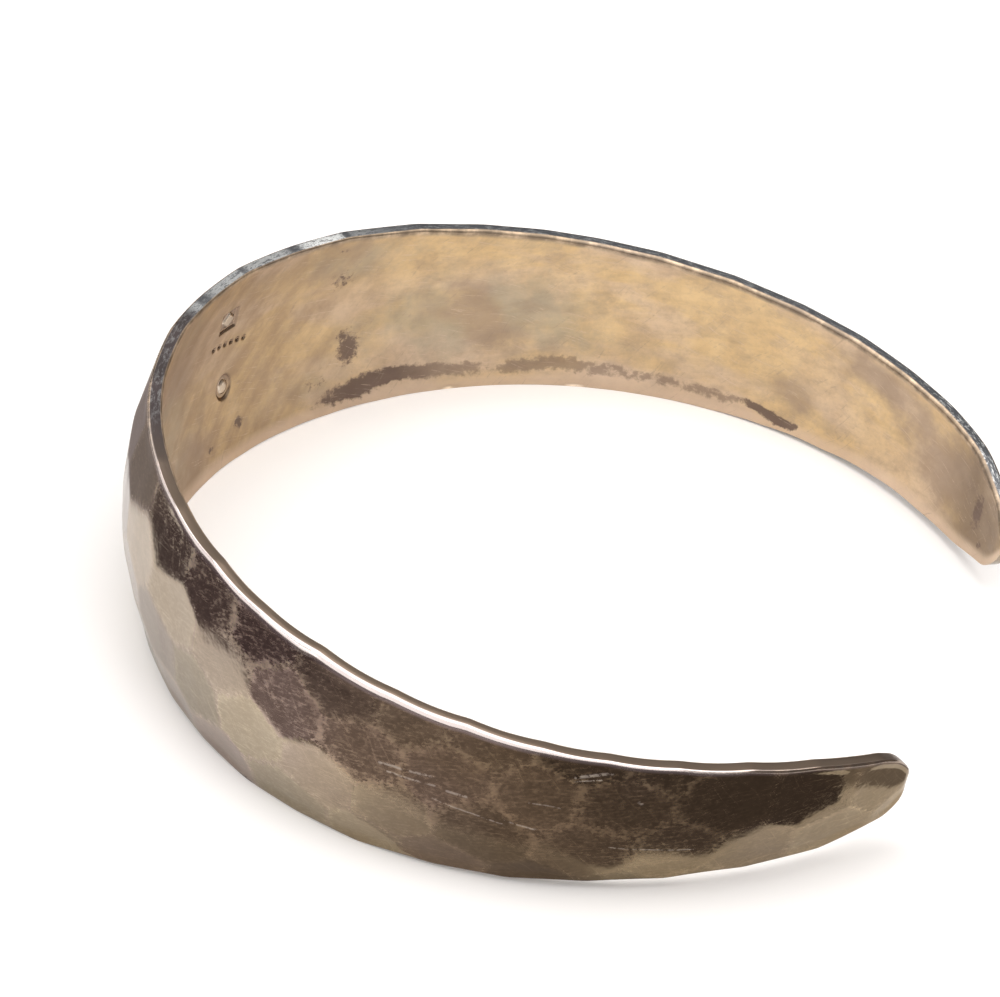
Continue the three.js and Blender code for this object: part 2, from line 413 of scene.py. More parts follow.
def lay_down(points):
    """Turns the cuff to its rest, stands it on the table and puts it where the measured one is."""
    roll = Matrix.Rotation(math.radians(REST_ROLL), 3, "X")
    pitch = Matrix.Rotation(math.radians(REST_PITCH), 3, "Y")
    points = points @ np.array(roll @ pitch).T
    low, high = points.min(axis=0), points.max(axis=0)
    points -= [(low[0] + high[0]) / 2, (low[1] + high[1]) / 2, low[2] + RUBBED_FLAT]
    points[:, 2] = np.maximum(points[:, 2], 0)
    return points * MM


write_points(cuff.data, lay_down(bend(along, out, height)))
print("touching the table:", int((read_points(cuff.data)[:, 2] < 0.001 * MM).sum()), "points")

# %% [markdown]
# ## Keeping the strip's own coordinates
#
# Tarnish, scratches and wear follow the strip, not the room. An unwrapped image could carry them, but here
# every point simply keeps where it was on the flat strip, as a value that the material can read. Other values
# are worked out here too, once, where the blows are known: which blow a point lies in, how near it is to a
# ridge, whether it is on an edge, how deep it is stamped, and whether the face is scuffed there.

# %% Values the finish will follow
RIDGE_WEAR, EDGE_GAP = 0.06, 0.03  # mm from one dish to the next where their ridge has faded to a third
SCUFF_LINE = np.array(  # mm along the right arm, height above which the face is scuffed
    [
        (12, 8), (18, 5.6), (25, 4.4), (30, 2.6), (35, 0.4),
        (42, -2.2), (50, -3.2), (58, -3.2), (66, -1.6), (73, 1.5),
    ]
)


def keep(name, values, kind="FLOAT"):
    layer = cuff.data.attributes.new(name, kind, "POINT")
    field = "vector" if kind == "FLOAT_VECTOR" else "value"
    layer.data.foreach_set(field, np.ascontiguousarray(values).ravel())


def nearness(dish, fades):
    """1 on the ridge between the two nearest blows, falling towards the middle of a dish."""
    two = np.partition(dish, 1, axis=0)[:2]
    return np.exp((two[0] - two[1]) / fades)


tone, ridge = np.zeros_like(along), np.zeros_like(along)
for part, dish in dishes(along, height):
    tone[part], ridge[part] = scatter(dish.argmin(axis=0), 5), nearness(dish, RIDGE_WEAR)
keep("strip", np.column_stack([along, height, np.where(outer, 1.0, -1.0)]), "FLOAT_VECTOR")
keep("blow_tone", tone)
keep("ridge", np.where(outer & (to_edge > 1), ridge, 0))
print("ridges cover", round(float((ridge[outer] > 0.5).mean() * 100)), "% of the outside")

# %% Values of the upper edge, the stamps and the scuffed part
keep("land", ((to_edge < 0.01) & (share_up > 0)).astype(float))
keep("upper_edge", ((to_edge < 1.01) & (share_up > 0)).astype(float))
edge_numbers, edge_away = edge_dishes(along, UPPER_EDGE_SALT)
keep("edge_gap", nearness(edge_away, EDGE_GAP))
mine = np.take_along_axis(edge_numbers, edge_away.argmin(axis=0)[None], axis=0)[0]
keep("edge_tone", scatter(mine, 9))

keep("stamp_wall", 4 * stamped * (1 - stamped))
keep("stamp_floor", stamped * (1 - raised))
keep("stamp_glint", np.maximum(4 * raised * (1 - raised), 0.5 * raised))

above_line = height - np.interp(-along, SCUFF_LINE[:, 0], SCUFF_LINE[:, 1])
begins, ends = smoothstep(-along, 12, 20), 1 - 0.75 * smoothstep(-along, 58, 65)
scuff = smoothstep(above_line, -0.6, 0.9) * begins * ends
keep("scuffed", np.where(outer & right, scuff, 0))
print("scuffed:", round(float((scuff[outer & right] > 0.5).mean() * 100)), "% of the right arm's outside")

# %% [markdown]
# ## Where the silver has tarnished
#
# The hollow side has been worn against skin and has never been polished: it is yellowed all over, clouded
# mauve-grey in soft patches, and a dark line has crept along its lower margin where moisture sat. Short
# tables say where, in mm along the strip and up it. The cloud edges get their ragged look later, from nodes.

# %% Tarnish tables
CLOUDS = np.array(  # along, height, reach along, reach up, strength
    [
        (1.0, 2.0, 2.6, 7.5, 0.9),
        (2.6, -5.8, 2.6, 2.6, 1.0),
        (4.5, -2.0, 1.6, 4.0, 0.45),
        (8.5, 5.6, 4.0, 1.6, 0.5),
        (17.5, 5.0, 4.5, 2.2, 0.75),
        (21.5, 5.2, 3.0, 1.2, 0.45),
        (13.0, -5.0, 5.5, 1.8, 0.55),
        (19.0, -2.6, 3.0, 2.4, 0.45),
        (29.0, -1.2, 9.0, 3.4, 0.85),
        (33.0, 1.0, 4.0, 1.6, 0.5),
        (41.0, -2.6, 4.5, 2.4, 0.35),
        (31.0, 5.2, 4.5, 1.0, 0.35),
        (53.2, -2.0, 2.4, 1.8, 0.75),
        (59.5, 3.0, 4.2, 1.7, 0.85),
        (64.0, 2.0, 4.0, 2.4, 0.75),
        (68.5, 0.6, 4.5, 3.0, 0.95),
        (73.0, -0.6, 3.6, 3.2, 0.9),
        (62.0, -2.4, 3.0, 1.4, 0.3),
    ]
)
GILT = np.array(  # along, height, reach along, reach up, strength: where the yellow is clearest
    [
        (10.5, -2.5, 3.5, 3.0, 0.8),
        (24.0, 4.0, 6.0, 2.6, 1.0),
        (33.5, 2.0, 4.0, 2.0, 0.6),
        (50.0, 1.0, 6.0, 3.0, 0.9),
        (61.0, -1.5, 4.0, 2.5, 0.7),
    ]
)
STAINS = np.array(  # along, height, reach along, reach up, strength
    [
        (18.7, -2.9, 0.75, 1.15, 1.0),
        (18.2, -1.7, 0.55, 0.5, 0.7),
        (17.7, 3.2, 0.9, 0.8, 0.55),
        (17.3, 6.1, 0.5, 0.25, 0.5),
        (8.7, -5.5, 0.4, 0.45, 0.9),
        (5.4, -6.1, 0.25, 0.3, 0.9),
        (15.6, -5.0, 0.5, 0.5, 0.45),
        (16.6, -4.9, 0.45, 0.5, 0.5),
        (72.2, 0.2, 0.7, 1.5, 0.75),
        (73.6, -1.7, 0.25, 0.3, 0.8),
        (38.0, 3.4, 0.7, 0.25, 0.25),
    ]
)
MARGIN_LINE = np.array(  # along, height, half-width, strength
    [
        (14.0, -6.5, 0.5, 0.0),
        (16.2, -6.5, 0.7, 0.5),
        (18.4, -6.3, 0.9, 0.85),
        (20.5, -5.9, 0.8, 1.0),
        (22.8, -5.5, 0.62, 1.0),
        (25.0, -5.6, 0.62, 0.85),
        (28.6, -5.6, 0.68, 0.7),
        (30.0, -5.6, 0.62, 0.4),
        (31.6, -5.4, 0.66, 0.8),
        (33.6, -5.1, 0.68, 0.75),
        (35.2, -4.7, 0.72, 0.8),
        (37.5, -4.9, 0.7, 0.64),
        (41.5, -4.7, 0.6, 0.56),
        (45.5, -4.5, 0.6, 0.60),
        (48.2, -4.4, 0.5, 0.66),
        (49.2, -4.1, 0.36, 0.62),
        (50.4, -4.2, 0.36, 0.9),
        (52.0, -4.5, 0.44, 0.9),
        (53.6, -4.4, 0.34, 0.9),
        (54.6, -4.1, 0.2, 0.0),
    ]
)
RUBBED_SPOT = (39.0, -5.4, 3.5, 1.0, 1.0)
CLEAN_MARGIN = 0.75  # how far the rubbed margin reaches in from the lower edge


def blots(table, along, height):
    """The strongest of several soft ovals at each point."""
    mask = np.zeros_like(along)
    for at, up_at, reach, reach_up, strength in table:
        away = ((along - at) / reach) ** 2 + ((height - up_at) / reach_up) ** 2
        mask = np.maximum(mask, strength * np.exp(-away * 0.7))
    return mask


def margin_mask(along, height):
    at = np.interp(along, MARGIN_LINE[:, 0], MARGIN_LINE[:, 1])
    reach = np.interp(along, MARGIN_LINE[:, 0], MARGIN_LINE[:, 2])
    strength = np.interp(along, MARGIN_LINE[:, 0], MARGIN_LINE[:, 3], left=0, right=0)
    return strength * np.exp(-(((height - at) / reach) ** 2) * 0.8)


hollow = ~outer
keep("cloud", np.where(hollow, blots(CLOUDS, along, height), 0))
keep("gilt", np.where(hollow, blots(GILT, along, height), 0))
keep("stain", np.where(hollow, blots(STAINS, along, height), 0))
keep("margin_stain", np.where(hollow, margin_mask(along, height), 0))
above_edge = np.where(hollow, height + down, 9)  # mm above the lower edge
clean = 1 - smoothstep(above_edge, 0.5 * CLEAN_MARGIN, 1.6 * CLEAN_MARGIN)
keep("rubbed", np.where(hollow, np.maximum(clean, blots([RUBBED_SPOT], along, height)), 0))
clouded = blots(CLOUDS, along, height)[hollow] > 0.4
print("cloud covers", round(float(clouded.mean() * 100)), "% of the hollow side")

# %% Close the shape
only(cuff)
bpy.ops.object.mode_set(mode="EDIT")
bpy.ops.mesh.select_all(action="SELECT")
bpy.ops.mesh.normals_make_consistent(inside=False)
bpy.ops.mesh.select_all(action="DESELECT")
bpy.ops.object.mode_set(mode="OBJECT")
bpy.ops.object.shade_smooth()
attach(cuff, "root")
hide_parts("cuff_band")
size = [round(1000 * v, 2) for v in cuff.dimensions]
print("cuff", size, "mm,", sum(len(f.vertices) - 2 for f in cuff.data.polygons), "triangles")

# %% [markdown]
# ## Node groups
#
# Four effects deserve a name, and most of them are placed more than once, so each is a node group with named
# inputs: ragged stains, fields of fine scratches, flecks, and one long scratch. A group only puts out a mask;
# the metal itself stays in the material.

# %% Node helpers
def new_group(name, inputs, outputs):
    """A shader node group with named sockets; numbers get their usual value."""
    group = bpy.data.node_groups.new(name, "ShaderNodeTree")
    for label, default in inputs.items():
        kind = "NodeSocketVector" if default is None else "NodeSocketFloat"
        socket = group.interface.new_socket(label, in_out="INPUT", socket_type=kind)
        if default is not None:
            socket.default_value = default
    for label in outputs:
        group.interface.new_socket(label, in_out="OUTPUT", socket_type="NodeSocketFloat")
    return group, group.nodes.new("NodeGroupInput").outputs, group.nodes.new("NodeGroupOutput").inputs


def node(tree, kind, **settings):
    """A node with its settings; an input is set by its name, by a value or by a link."""
    made = tree.nodes.new("ShaderNode" + kind)
    inputs = settings.pop("inputs", {})
    for name, value in settings.items():
        setattr(made, name, value)
    for name, value in inputs.items():
        if isinstance(value, bpy.types.NodeSocket):
            tree.links.new(value, made.inputs[name])
        else:
            made.inputs[name].default_value = value
    return made


def maths(tree, operation, first, second=0.0, clamp=False):
    return node(tree, "Math", operation=operation, use_clamp=clamp, inputs={0: first, 1: second}).outputs[0]


def ramp(tree, value, low, high, start=0.0, stop=1.0):
    """Smoothly from start to stop as the value goes from low to high."""
    wanted = {"Value": value, "From Min": low, "From Max": high, "To Min": start, "To Max": stop}
    return node(tree, "MapRange", interpolation_type="SMOOTHSTEP", inputs=wanted).outputs[0]


def noise(tree, vector, scale, detail, roughness=0.5):
    wanted = {"Vector": vector, "Scale": scale, "Detail": detail, "Roughness": roughness}
    return node(tree, "TexNoise", inputs=wanted).outputs[0]


def vectors(tree, operation, *given):
    """Vector maths: the first output is a vector, the second a number."""
    return node(tree, "VectorMath", operation=operation, inputs=dict(enumerate(given))).outputs


def stretched(tree, vector, scale, turn=0.0):
    """The vector turned about the wall's own normal and then scaled."""
    angles = (0, 0, math.radians(turn))
    turned = node(tree, "Mapping", inputs={"Vector": vector, "Rotation": angles}).outputs[0]
    return node(tree, "Mapping", inputs={"Vector": turned, "Scale": scale}).outputs[0]


print("helpers ready; materials so far:", len(bpy.data.materials))


# %% Group: ragged stain
ragged, asks, gives = new_group(
    "ragged_stain",
    {"Vector": None, "Mask": 0.0, "Grain": 1.0, "Raggedness": 0.5, "Softness": 0.2},
    ["Stain"],
)
per_mm = node(ragged, "CombineXYZ", inputs={0: asks["Grain"], 1: asks["Grain"], 2: 1.0}).outputs[0]
grained = node(ragged, "Mapping", inputs={"Vector": asks["Vector"], "Scale": per_mm}).outputs[0]
unevenness = maths(ragged, "SUBTRACT", noise(ragged, grained, 1.0, 4.0, 0.64), 0.5)
torn = maths(ragged, "ADD", asks["Mask"], maths(ragged, "MULTIPLY", unevenness, asks["Raggedness"]))
low = maths(ragged, "SUBTRACT", 0.5, asks["Softness"])
high = maths(ragged, "ADD", 0.5, asks["Softness"])
ragged.links.new(ramp(ragged, torn, low, high), gives["Stain"])
print(ragged.name, len(ragged.nodes), "nodes")

# %% Group: scratches
BENDING = (0, 1.6, 0)  # mm by which a scratch wanders off its line
DRAWN_OUT = (0.35, 9.0, 1.0)  # noise pressed together across a scratch and drawn out along it

scratched, asks, gives = new_group(
    "scratches", {"Vector": None, "Turn": 0.0, "Fineness": 1.0, "Rarity": 0.7}, ["Scratch"]
)
turn_by = node(scratched, "CombineXYZ", inputs={2: asks["Turn"]}).outputs[0]
turned = node(scratched, "Mapping", inputs={"Vector": asks["Vector"], "Rotation": turn_by}).outputs[0]
wavy = vectors(scratched, "MULTIPLY_ADD", noise(scratched, turned, 0.25, 1.0), BENDING, turned)[0]
squeezed = vectors(scratched, "MULTIPLY", wavy, DRAWN_OUT)[0]
lines = noise(scratched, squeezed, asks["Fineness"], 2.0)
top = maths(scratched, "ADD", asks["Rarity"], 0.05)
scratched.links.new(ramp(scratched, lines, asks["Rarity"], top), gives["Scratch"])
print(scratched.name, len(scratched.nodes), "nodes")

# %% Group: flecks
flecked, asks, gives = new_group("flecks", {"Vector": None, "Size": 0.3, "Amount": 0.5}, ["Flecks"])
per_mm = maths(flecked, "DIVIDE", 1.0, asks["Size"])
fine = noise(flecked, asks["Vector"], per_mm, 3.0, 0.7)
low = maths(flecked, "SUBTRACT", 0.72, maths(flecked, "MULTIPLY", asks["Amount"], 0.3))
high = maths(flecked, "ADD", low, 0.14)
flecked.links.new(ramp(flecked, fine, low, high), gives["Flecks"])
print(flecked.name, len(flecked.nodes), "nodes")

# %% Group: one scratch
SWAY = 0.3  # mm by which one long scratch can bend

single, asks, gives = new_group(
    "one_scratch",
    {"Vector": None, "At": None, "Way": None, "Across": None, "Length": 2.0, "Width": 0.08, "Sway": 0.5},
    ["Scratch"],
)
from_it = vectors(single, "SUBTRACT", asks["Vector"], asks["At"])[0]
run = vectors(single, "DOT_PRODUCT", from_it, asks["Way"])[1]
off = vectors(single, "DOT_PRODUCT", from_it, asks["Across"])[1]
swayed = maths(single, "MULTIPLY", maths(single, "SUBTRACT", asks["Sway"], 0.5), SWAY)
off = maths(single, "ADD", off, swayed)
half_length = maths(single, "MULTIPLY", asks["Length"], 0.5)
past = maths(single, "SUBTRACT", maths(single, "ABSOLUTE", run), half_length)
past = maths(single, "MAXIMUM", past, 0.0)
from_body = node(single, "CombineXYZ", inputs={0: past, 1: off}).outputs[0]
away = vectors(single, "LENGTH", from_body)[1]
core = maths(single, "MULTIPLY", asks["Width"], 0.2)
single.links.new(ramp(single, away, core, asks["Width"], 1.0, 0.0), gives["Scratch"])
print(single.name, len(single.nodes), "nodes")

# %% [markdown]
# ## The metal
#
# It is silver throughout, so Metallic stays at 1 and the colour is what is mirrored back. Outside, the
# burnished blows are smooth, each a little different, with rubbed ridges, flecks and scratches. Inside, a
# haze of yellow tarnish roughens it to satin and the clouds and stains from the tables darken it. Painted
# shade darkens the colour too: towards the end of the right arm outside, and at the back and the tip inside.

# %% Colours and long scratches
OUTSIDE = (0.40, 0.32, 0.275)
OUTSIDE_OLIVE = (0.43, 0.365, 0.275)
OUTSIDE_WARM_SHADED = (0.338, 0.26, 0.163)
INSIDE_GOLD = (0.72, 0.535, 0.30)
INSIDE_PINK = (0.69, 0.535, 0.385)
INSIDE_RUBBED = (0.76, 0.60, 0.46)
CLOUD = (0.37, 0.285, 0.22)
CLOUD_GREY = (0.42, 0.372, 0.28)
STROKE_AND_SHADE = (0.37, 0.262, 0.17)
STAIN_AND_SHADE = (0.20, 0.145, 0.12)
SCRATCH_AND_GLINT = (0.92, 0.85, 0.74)
EDGE_BARE = (0.74, 0.66, 0.645)
EDGE_DULL = (0.10, 0.085, 0.075)
LAND_BROWN = (0.16, 0.122, 0.092)
LAND_DARK = (0.085, 0.07, 0.07)
LAND_GREY = (0.10, 0.105, 0.115)
LAND_WHITE = (0.95, 0.98, 0.97)
SCRATCHES = [  # along, height, tilt in degrees, length, half-width in mm
    (-42.4, 1.5, -6, 3.4, 0.144),
    (-42.8, 0.95, -4, 3.0, 0.112),
    (-46.6, -0.35, 10, 4.6, 0.088),
    (-45.7, 0.9, 4, 1.2, 0.144),
    (-49.9, -0.5, 8, 2.2, 0.096),
    (-51.0, 1.4, 2, 1.9, 0.072),
    (-53.6, 4.15, -14, 2.2, 0.16),
    (-53.3, 3.75, -10, 1.6, 0.072),
    (-58.0, -1.65, 2, 5.4, 0.064),
    (-56.7, 2.3, 40, 0.3, 0.16),
]


print("long scratches:", len(SCRATCHES))


# %% The material and its helpers
def blend(tree, share, first, second):
    """Mixes two colours."""
    mix = node(tree, "Mix", data_type="RGBA")
    for socket, value in ((0, share), (6, first), (7, second)):
        if isinstance(value, bpy.types.NodeSocket):
            tree.links.new(value, mix.inputs[socket])
        else:
            mix.inputs[socket].default_value = value if socket == 0 else (*value, 1)
    return mix.outputs[2]


def shade(tree, colour, by):
    """Makes a colour darker or lighter as a whole."""
    return node(tree, "VectorMath", operation="SCALE", inputs={0: colour, "Scale": by}).outputs[0]


def use(tree, group, **inputs):
    """Places a node group and gives back its mask."""
    placed = tree.nodes.new("ShaderNodeGroup")
    placed.node_tree = group
    for name, value in inputs.items():
        if isinstance(value, bpy.types.NodeSocket):
            tree.links.new(value, placed.inputs[name])
        else:
            placed.inputs[name].default_value = value
    return placed.outputs[0]


def value_of(tree, name, output="Fac"):
    return node(tree, "Attribute", attribute_name=name).outputs[output]


silver = bpy.data.materials.new("aged_silver")
silver.use_nodes = True
tree = silver.node_tree
metal = tree.nodes["Principled BSDF"]
metal.inputs["Metallic"].default_value = 1.0

# The same helpers with this material's tree filled in, which keeps the lines below short.
times, plus, minus, larger = [
    partial(maths, tree, operation) for operation in ("MULTIPLY", "ADD", "SUBTRACT", "MAXIMUM")
]
ease, cloudy = partial(ramp, tree), partial(noise, tree)
paint, shaded = partial(blend, tree), partial(shade, tree)
put, value = partial(use, tree), partial(value_of, tree)

place = value("strip", "Vector")
along_at, _, side_at = node(tree, "SeparateXYZ", inputs={0: place}).outputs
inside = ease(side_at, -0.6, -0.9)
print("made", silver.name)

# %% [markdown]
# ## Wear, and the colour outside
#
# Wear is brightest where the metal stands proud, on the ridges between blows, and where the face is scuffed.
# It both lightens the colour and roughens the gloss. A few long scratches are placed one by one. The tones of
# neighbouring blows differ a little, because each was struck and tarnished by itself.

# %% Masks of wear
facet, scuffed, ridged = value("blow_tone"), value("scuffed"), value("ridge")
mottle = cloudy(place, 1.6, 4.0, 0.8)
mottled = node(tree, "MapRange", inputs={"Value": mottle, "From Min": 0.42, "From Max": 0.74}).outputs[0]
haze = cloudy(place, 0.5, 4.0)
flecks = put(flecked, Vector=stretched(tree, place, (0.55, 1.25, 1), 12), Size=0.25, Amount=0.76)
scratch_a = put(scratched, Vector=place, Turn=math.radians(10), Fineness=1.0, Rarity=0.61)
scratch_b = put(scratched, Vector=place, Turn=math.radians(-52), Fineness=0.8, Rarity=0.64)

marks = 0.0
for scratch_along, scratch_up, tilt, length, half_width in SCRATCHES:
    cos, sin = math.cos(math.radians(tilt)), math.sin(math.radians(tilt))
    one = put(single, Vector=place, At=(scratch_along, scratch_up, 1), Way=(cos, sin, 0),
              Across=(-sin, cos, 0), Length=length, Width=half_width, Sway=haze)
    marks = larger(one, marks)
marks = times(marks, ease(mottle, 0.42, 0.52))
marks = times(marks, ease(side_at, 0.5, 0.9))

near_ridge = ease(ridged, 0.1, 0.8, 0.65, 1.3)
grain = times(plus(times(mottled, 0.66), times(flecks, 0.68)), near_ridge)
worn_ridge = times(ridged, ease(mottle, 0.36, 0.56))
grain = plus(grain, times(worn_ridge, 0.45))
lined = times(larger(scratch_a, scratch_b), ease(scuffed, 0, 1, 0.2, 0.32))
wear = plus(times(grain, ease(scuffed, 0, 1, 0.3, 1)), lined, True)
print("masks of wear:", len(tree.nodes), "nodes so far")

# %% Outside colour
broad = cloudy(place, 0.12, 3.0)
# Painted shade: the outside of the right arm is painted darker and warmer towards its end, in broad patches.
# It stands in for the shaded table that this side mirrors.
warm_shaded_side = plus(ease(along_at, -26.0, -52.0), times(minus(broad, 0.5), 1.2), True)
tint = maths(tree, "FRACT", times(plus(facet, 1.0), 3.7))
outside_colour = paint(ease(tint, 0.1, 0.9), OUTSIDE, OUTSIDE_OLIVE)
outside_colour = paint(warm_shaded_side, outside_colour, OUTSIDE_WARM_SHADED)
facet_shade = times(ease(facet, -1.0, 1.0, 0.80, 1.14), plus(0.80, times(wear, 0.95)))
border = times(ease(ridged, 0.86, 0.98), ease(scuffed, 0.0, 0.4, 0.2, 0.0))
outside_colour = shaded(outside_colour, times(facet_shade, minus(1.0, border)))
outside_colour = paint(times(marks, 0.75), outside_colour, SCRATCH_AND_GLINT)
print("outside colour:", len(tree.nodes), "nodes so far")

# %% [markdown]
# ## The colour inside
#
# The hollow side is built up in layers: clear yellow and pinkish metal first, then soft grey patches and
# the clouds from the table, then painted shade over the back and the tip, with brush-like streaks in it,
# and last the dark stains, the worn lower margin and the marks. The marks are painted dark in their corners
# and floors, grime and painted shade together, and bright on the shapes standing in them, a painted glint.

# %% Inside colour
drift = cloudy(stretched(tree, place, (0.10, 0.24, 1)), 1.0, 4.0)
pinkness = minus(ease(drift, 0.40, 0.58), value("gilt"), True)
inside_colour = paint(pinkness, INSIDE_GOLD, INSIDE_PINK)
greyness = times(ease(cloudy(place, 0.16, 2.0), 0.42, 0.6), ease(along_at, 44.0, 34.0))
cloud_colour = paint(greyness, CLOUD, CLOUD_GREY)
cloud = put(ragged, Vector=place, Mask=value("cloud"), Grain=0.5, Raggedness=1.0, Softness=0.32)
patch = cloudy(stretched(tree, place, (0.32, 0.5, 1), -15), 1.0, 5.0, 0.68)
patched = plus(ease(patch, 0.42, 0.66, 0.0, 0.34), times(mottled, 0.3))
inside_colour = paint(patched, inside_colour, CLOUD)
inside_colour = paint(times(cloud, 0.72), inside_colour, cloud_colour)

# Painted shade over the back and the tip of the hollow side, with brush-like streaks running through it.
shaded_ends = larger(ease(along_at, 30.0, 7.0), times(ease(along_at, 64.0, 73.0), 0.7))
wisps = put(ragged, Vector=stretched(tree, place, (0.30, 1.5, 1), -12), Mask=0.36,
            Grain=1.0, Raggedness=1.4, Softness=0.3)
swept = vectors(tree, "MULTIPLY_ADD", cloudy(place, 0.22, 2.0), (5, 5, 0), place)[0]
strokes_and_shade = put(ragged, Vector=stretched(tree, swept, (0.28, 0.8, 1), -48), Mask=0.5,
              Grain=1.0, Raggedness=1.7, Softness=0.34)
strokes_and_shade = times(shaded_ends, plus(0.30, times(strokes_and_shade, 0.5)))
inside_colour = paint(larger(times(wisps, 0.3), strokes_and_shade), inside_colour, STROKE_AND_SHADE)
print("clouds and strokes:", len(tree.nodes), "nodes so far")

# %% Stains, painted shade, worn places and marks
margin = put(ragged, Vector=place, Mask=value("margin_stain"), Grain=1.5, Raggedness=1.15, Softness=0.14)
spots = put(ragged, Vector=place, Mask=value("stain"), Grain=3.0, Raggedness=1.5, Softness=0.2)
margin_depth = larger(ease(along_at, 22.0, 27.0, 0.94, 0.55), ease(along_at, 47.0, 50.0, 0.0, 0.94))
dark_stain = larger(times(margin, margin_depth), times(spots, 0.9))
# Painted shade: the hollow side grows darker towards the tip.
inside_colour = shaded(inside_colour, ease(along_at, 66.0, 71.5, 1.0, 0.66))
inside_colour = paint(times(value("rubbed"), 0.7), inside_colour, INSIDE_RUBBED)
inside_colour = paint(dark_stain, inside_colour, STAIN_AND_SHADE)
inside_colour = paint(times(scratch_b, ease(mottle, 0.44, 0.56, 0.05, 0.35)), inside_colour, CLOUD)
inside_colour = paint(times(scratch_a, ease(mottle, 0.44, 0.56, 0.0, 0.3)), inside_colour, INSIDE_RUBBED)
stamp_floor = value("stamp_floor")
# The marks: painted dark on their sloping walls and floors, grime and painted shade together, and painted
# bright on the walls and tops of the shapes standing in them, a painted glint.
dirt_and_shade = larger(times(value("stamp_wall"), 0.85), times(stamp_floor, 0.5))
inside_colour = paint(dirt_and_shade, inside_colour, STAIN_AND_SHADE)
inside_colour = paint(times(value("stamp_glint"), 0.8), inside_colour, SCRATCH_AND_GLINT)
print("inside colour:", len(tree.nodes), "nodes so far")

# %% [markdown]
# ## The upper edge
#
# The narrow land on top is dull where it is tarnished and nearly white where the hammer last struck it, with
# dark gaps between the blows. The softened arris beside it is rubbed bright on the right arm, where a
# sleeve and the hand pass over it, and stays grimy elsewhere.

# %% Edge colour
left_top = times(ease(along_at, 0.5, 3.0), ease(along_at, 24.0, 15.0))
land_colour = paint(ease(along_at, -19.0, -10.0), LAND_BROWN, LAND_DARK)
land_colour = paint(ease(along_at, 0.0, 3.0), land_colour, LAND_GREY)
blow_white = plus(value("edge_tone"), times(mottle, 1.2))
gap = plus(value("edge_gap"), times(minus(mottle, 0.5), 2.5))
whiteness = times(left_top, ease(blow_white, -0.2, 0.9, 0.45, 1.0))
whiteness = times(whiteness, ease(gap, 0.15, 0.55, 1.0, 0.05))
whiteness = times(whiteness, ease(mottle, 0.43, 0.49, 0.2, 1.0))
tip_white = times(ease(along_at, 58.0, 66.0), ease(mottle, 0.50, 0.60, 0.0, 0.5))
speckle = times(ease(mottle, 0.46, 0.66), ease(along_at, -14.0, -8.0, 0.0, 0.2))
whiteness = larger(larger(whiteness, tip_white), speckle)
land_colour = paint(whiteness, land_colour, LAND_WHITE)
grimy = put(ragged, Vector=place, Mask=0.60, Grain=0.7, Raggedness=1.5, Softness=0.3)
bright = times(ease(along_at, -9.0, -22.0, 0.12, 1.0), ease(along_at, -68.0, -58.0, 0.25, 1.0))
bright = times(bright, minus(1.0, inside))
arris_colour = paint(times(grimy, 0.8), INSIDE_PINK, EDGE_DULL)
arris_colour = paint(bright, arris_colour, EDGE_BARE)
print("edge colour:", len(tree.nodes), "nodes so far")

# %% All the colours together
upper_edge, land = value("upper_edge"), value("land")
colour = paint(inside, outside_colour, inside_colour)
colour = paint(times(upper_edge, 0.85), colour, arris_colour)
colour = paint(land, colour, land_colour)
tree.links.new(colour, metal.inputs["Base Color"])
print("colour joined:", len(tree.nodes), "nodes so far")

# %% Gloss
ARRIS_ROUGH, LAND_ROUGH = 0.2, 0.36

outside_rough = plus(ease(facet, -1.0, 1.0, 0.05, 0.11), times(wear, 0.4))
outside_rough = plus(outside_rough, times(marks, 0.3))
inside_rough = plus(ease(haze, 0.3, 0.7, 0.36, 0.5), times(dark_stain, 0.12))
inside_rough = minus(inside_rough, times(stamp_floor, 0.28))
bare_edge = times(upper_edge, minus(1.0, inside))
rough = node(tree, "Mix", inputs={0: inside, 2: outside_rough, 3: inside_rough}).outputs[0]
rough = node(tree, "Mix", inputs={0: bare_edge, 2: rough, 3: ARRIS_ROUGH}).outputs[0]
rough = node(tree, "Mix", inputs={0: land, 2: rough, 3: LAND_ROUGH}).outputs[0]
tree.links.new(rough, metal.inputs["Roughness"])
print("gloss joined:", len(tree.nodes), "nodes so far")

# %% Fine relief
WOBBLE, FINE_GRAIN = 0.018, 0.0022  # mm

relief = plus(times(cloudy(place, 0.8, 2.0), WOBBLE), times(cloudy(place, 4.0, 0.0), FINE_GRAIN))
bump = node(tree, "Bump", inputs={"Height": relief, "Strength": 1.0, "Distance": MM})
tree.links.new(bump.outputs[0], metal.inputs["Normal"])
cuff.data.materials.append(silver)
print("aged silver:", len(tree.nodes), "nodes")

# %% [markdown]
# ## The studio
#
# Polished metal has no look of its own: it shows the room. A pale table lies under one broad softbox; two
# fills at the sides light only the table, and three panels light only the metal. The last helpers are three
# cards lying on the table, seen only in the metal, like a photographer's black flags: the large one turns the
# upper outside deep brown, and the small ones shade the back and the tip.

# %% Table
PAPER_LIFT = 0.15  # extra light from the paper, for the eye only
TABLE_GAP = 0.00002  # metres between the rubbed flats and the paper, so the two never share a plane

bpy.ops.object.select_all(action="DESELECT")
bpy.ops.mesh.primitive_plane_add(size=6, location=(0, 0, -TABLE_GAP))
floor = bpy.context.object
floor.name = "table"
paper = bpy.data.materials.new("table_paper")
paper.use_nodes = True
sheet = paper.node_tree.nodes["Principled BSDF"]
sheet.inputs["Base Color"].default_value = (0.88, 0.875, 0.87, 1)
sheet.inputs["Roughness"].default_value = 0.9
sheet.inputs["Emission Color"].default_value = (1, 1, 1, 1)
